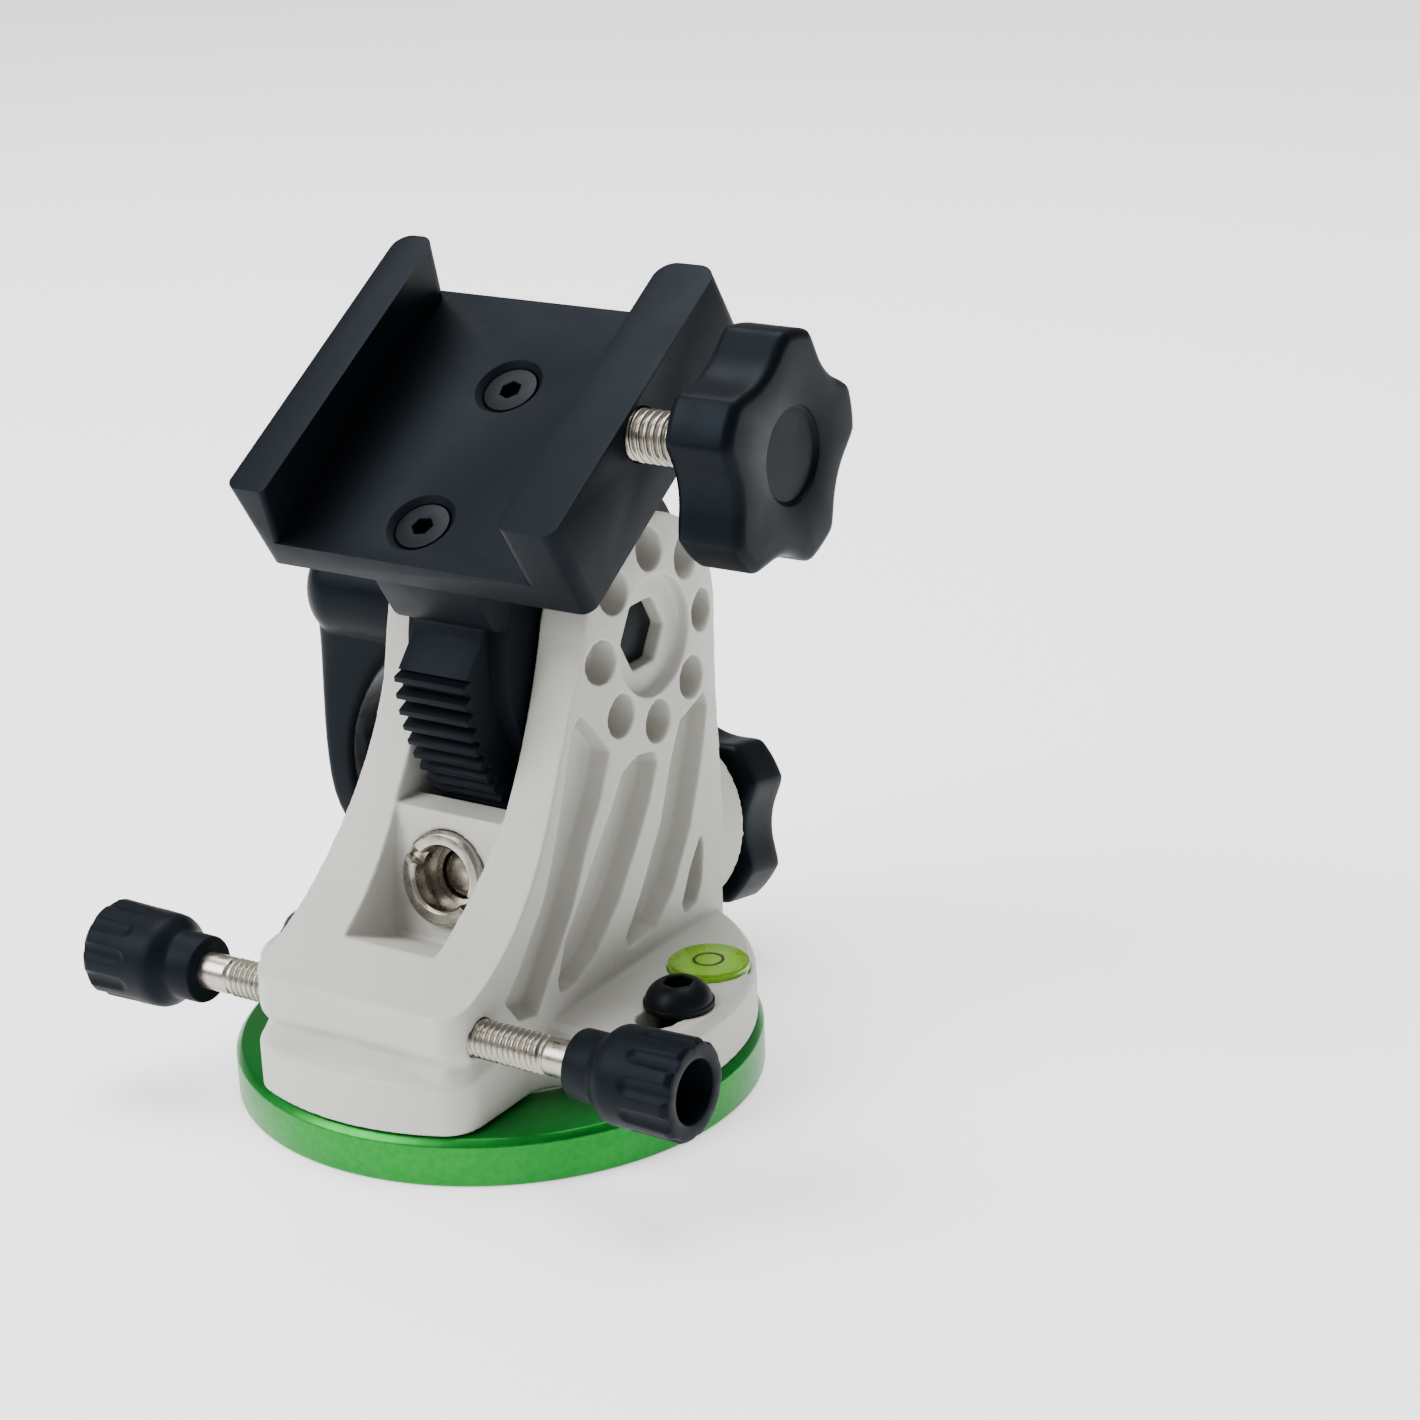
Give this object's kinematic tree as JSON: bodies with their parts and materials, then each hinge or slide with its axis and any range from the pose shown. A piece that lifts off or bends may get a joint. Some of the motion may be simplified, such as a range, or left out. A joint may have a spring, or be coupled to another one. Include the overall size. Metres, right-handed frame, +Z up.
{
  "type": "alt azimuth mount",
  "caption": "Compact alt-azimuth wedge mount: round tripod base, cast fork, worm-driven tilting dovetail saddle, azimuth adjusting screws, lock lever and bullseye level.",
  "frame": {"origin": "centre of the base plate's underside, at the mouth of the tripod thread", "axes": "+X along the altitude axis towards the clamp knob, +Y to the rear (worm knob side), +Z up along the azimuth axis"},
  "size_m": [0.1099, 0.105, 0.1267],
  "materials": {
    "green_anodised": "bright green anodised, fine turned sheen",
    "white_coat": "satin cream-white powder coat with a fine orange-peel texture over cast aluminium",
    "black_anodised": "fine bead-blasted black anodised aluminium",
    "black_steel": "black-oxide steel, slightly oily sheen",
    "black_plastic": "smooth moulded black plastic, satin",
    "nickel": "nickel-plated steel, light machining marks",
    "brass": "turned brass",
    "bronze": "sintered bronze, dull",
    "nylon": "off-white nylon",
    "level_shell": "clear lime-tinted acrylic",
    "level_liquid": "lime-yellow liquid",
    "level_bubble": "clear air bubble",
    "level_print": "printed red-brown ring"
  },
  "bodies": {
    "base": {"base_plate": "green_anodised", "tripod_bush": "nickel", "azimuth_peg": "nickel", "slip_ring": "nylon", "lock_washers": "black_steel"},
    "right_lock_screw": {"lock_screw_right": "black_steel"},
    "left_lock_screw": {"lock_screw_left": "black_steel"},
    "fork": {"fork_casting": "white_coat", "level_vial": "level_shell", "level_liquid": "level_liquid", "level_bubble": "level_bubble", "level_ring": "level_print", "altitude_bolt": "black_steel", "altitude_washers": "nylon", "lever_washer": "nickel", "worm_retainer": "nickel", "worm_front_bush": "nickel", "worm_rear_bush": "bronze"},
    "lever": {"lock_lever": "black_plastic", "lever_nut": "brass"},
    "worm": {"worm_shaft": "nickel", "worm_knob": "black_plastic", "worm_knob_screw": "black_steel"},
    "right_push": {"azimuth_tip_right": "brass"},
    "right_adjuster": {"azimuth_screw_right": "nickel", "azimuth_knob_right": "black_anodised"},
    "left_push": {"azimuth_tip_left": "brass"},
    "left_adjuster": {"azimuth_screw_left": "nickel", "azimuth_knob_left": "black_anodised"},
    "saddle_arm": {"altitude_arm": "black_anodised", "saddle": "black_anodised", "saddle_screws": "black_steel"},
    "clamp_push": {"clamp_tip": "brass"},
    "clamp_turn": {"clamp_screw": "nickel", "clamp_knob": "black_plastic"}
  },
  "joints": [
    {"name": "azimuth", "type": "hinge", "parent": "base", "child": "fork", "pos_m": [0, 0, 0.011], "axis": [0, 0, 1], "range_deg": [-0.7, 9.3]},
    {"name": "altitude", "type": "hinge", "parent": "fork", "child": "saddle_arm", "pos_m": [0, 0.0195, 0.0684], "axis": [1, 0, 0], "range_deg": [-32, 38]},
    {"name": "worm_spin", "type": "hinge", "parent": "fork", "child": "worm", "pos_m": [0, 0.01233, 0.03149], "axis": [0, 0.9816, -0.1908], "range_deg": [-2746, 2314]},
    {"name": "altitude_lock", "type": "hinge", "parent": "fork", "child": "lever", "pos_m": [-0.03, 0.0195, 0.0684], "axis": [1, 0, 0], "range_deg": [-90, 0]},
    {"name": "right_screw_slide", "type": "slide", "parent": "fork", "child": "right_push", "axis": [1, 0, 0], "range_m": [-0.005, 0.00045]},
    {"name": "right_screw_turn", "type": "hinge", "parent": "right_push", "child": "right_adjuster", "pos_m": [0.035, -0.0304, 0.02165], "axis": [1, 0, 0], "range_deg": [-1790, 150]},
    {"name": "left_screw_slide", "type": "slide", "parent": "fork", "child": "left_push", "axis": [1, 0, 0], "range_m": [-0.005, 0.00045]},
    {"name": "left_screw_turn", "type": "hinge", "parent": "left_push", "child": "left_adjuster", "pos_m": [-0.035, -0.0304, 0.02165], "axis": [1, 0, 0], "range_deg": [-1790, 150]},
    {"name": "right_lock_turn", "type": "hinge", "parent": "base", "child": "right_lock_screw", "pos_m": [0.03329, 0.00099, 0.018], "axis": [0, 0, 1], "range_deg": [0, 180]},
    {"name": "left_lock_turn", "type": "hinge", "parent": "base", "child": "left_lock_screw", "pos_m": [-0.03306, -0.004, 0.018], "axis": [0, 0, 1], "range_deg": [0, 180]},
    {"name": "clamp_slide", "type": "slide", "parent": "saddle_arm", "child": "clamp_push", "axis": [1, 0, 0], "range_m": [-0.014, 0.0025]},
    {"name": "clamp_turn", "type": "hinge", "parent": "clamp_push", "child": "clamp_turn", "pos_m": [0.045, -0.00125, 0.10708], "axis": [1, 0, 0], "range_deg": [-4040, 735]}
  ],
  "couplings": [
    {"joint": "worm_spin", "follows": "altitude", "ratio": -72},
    {"joint": "right_screw_slide", "follows": "azimuth", "m_per_rad": -0.030366},
    {"joint": "left_screw_slide", "follows": "azimuth", "m_per_rad": -0.030366},
    {"joint": "right_screw_turn", "follows": "azimuth", "ratio": -190.8},
    {"joint": "left_screw_turn", "follows": "azimuth", "ratio": -190.8},
    {"joint": "clamp_turn", "follows": "clamp_slide", "rad_per_m": 5026.6}
  ]
}
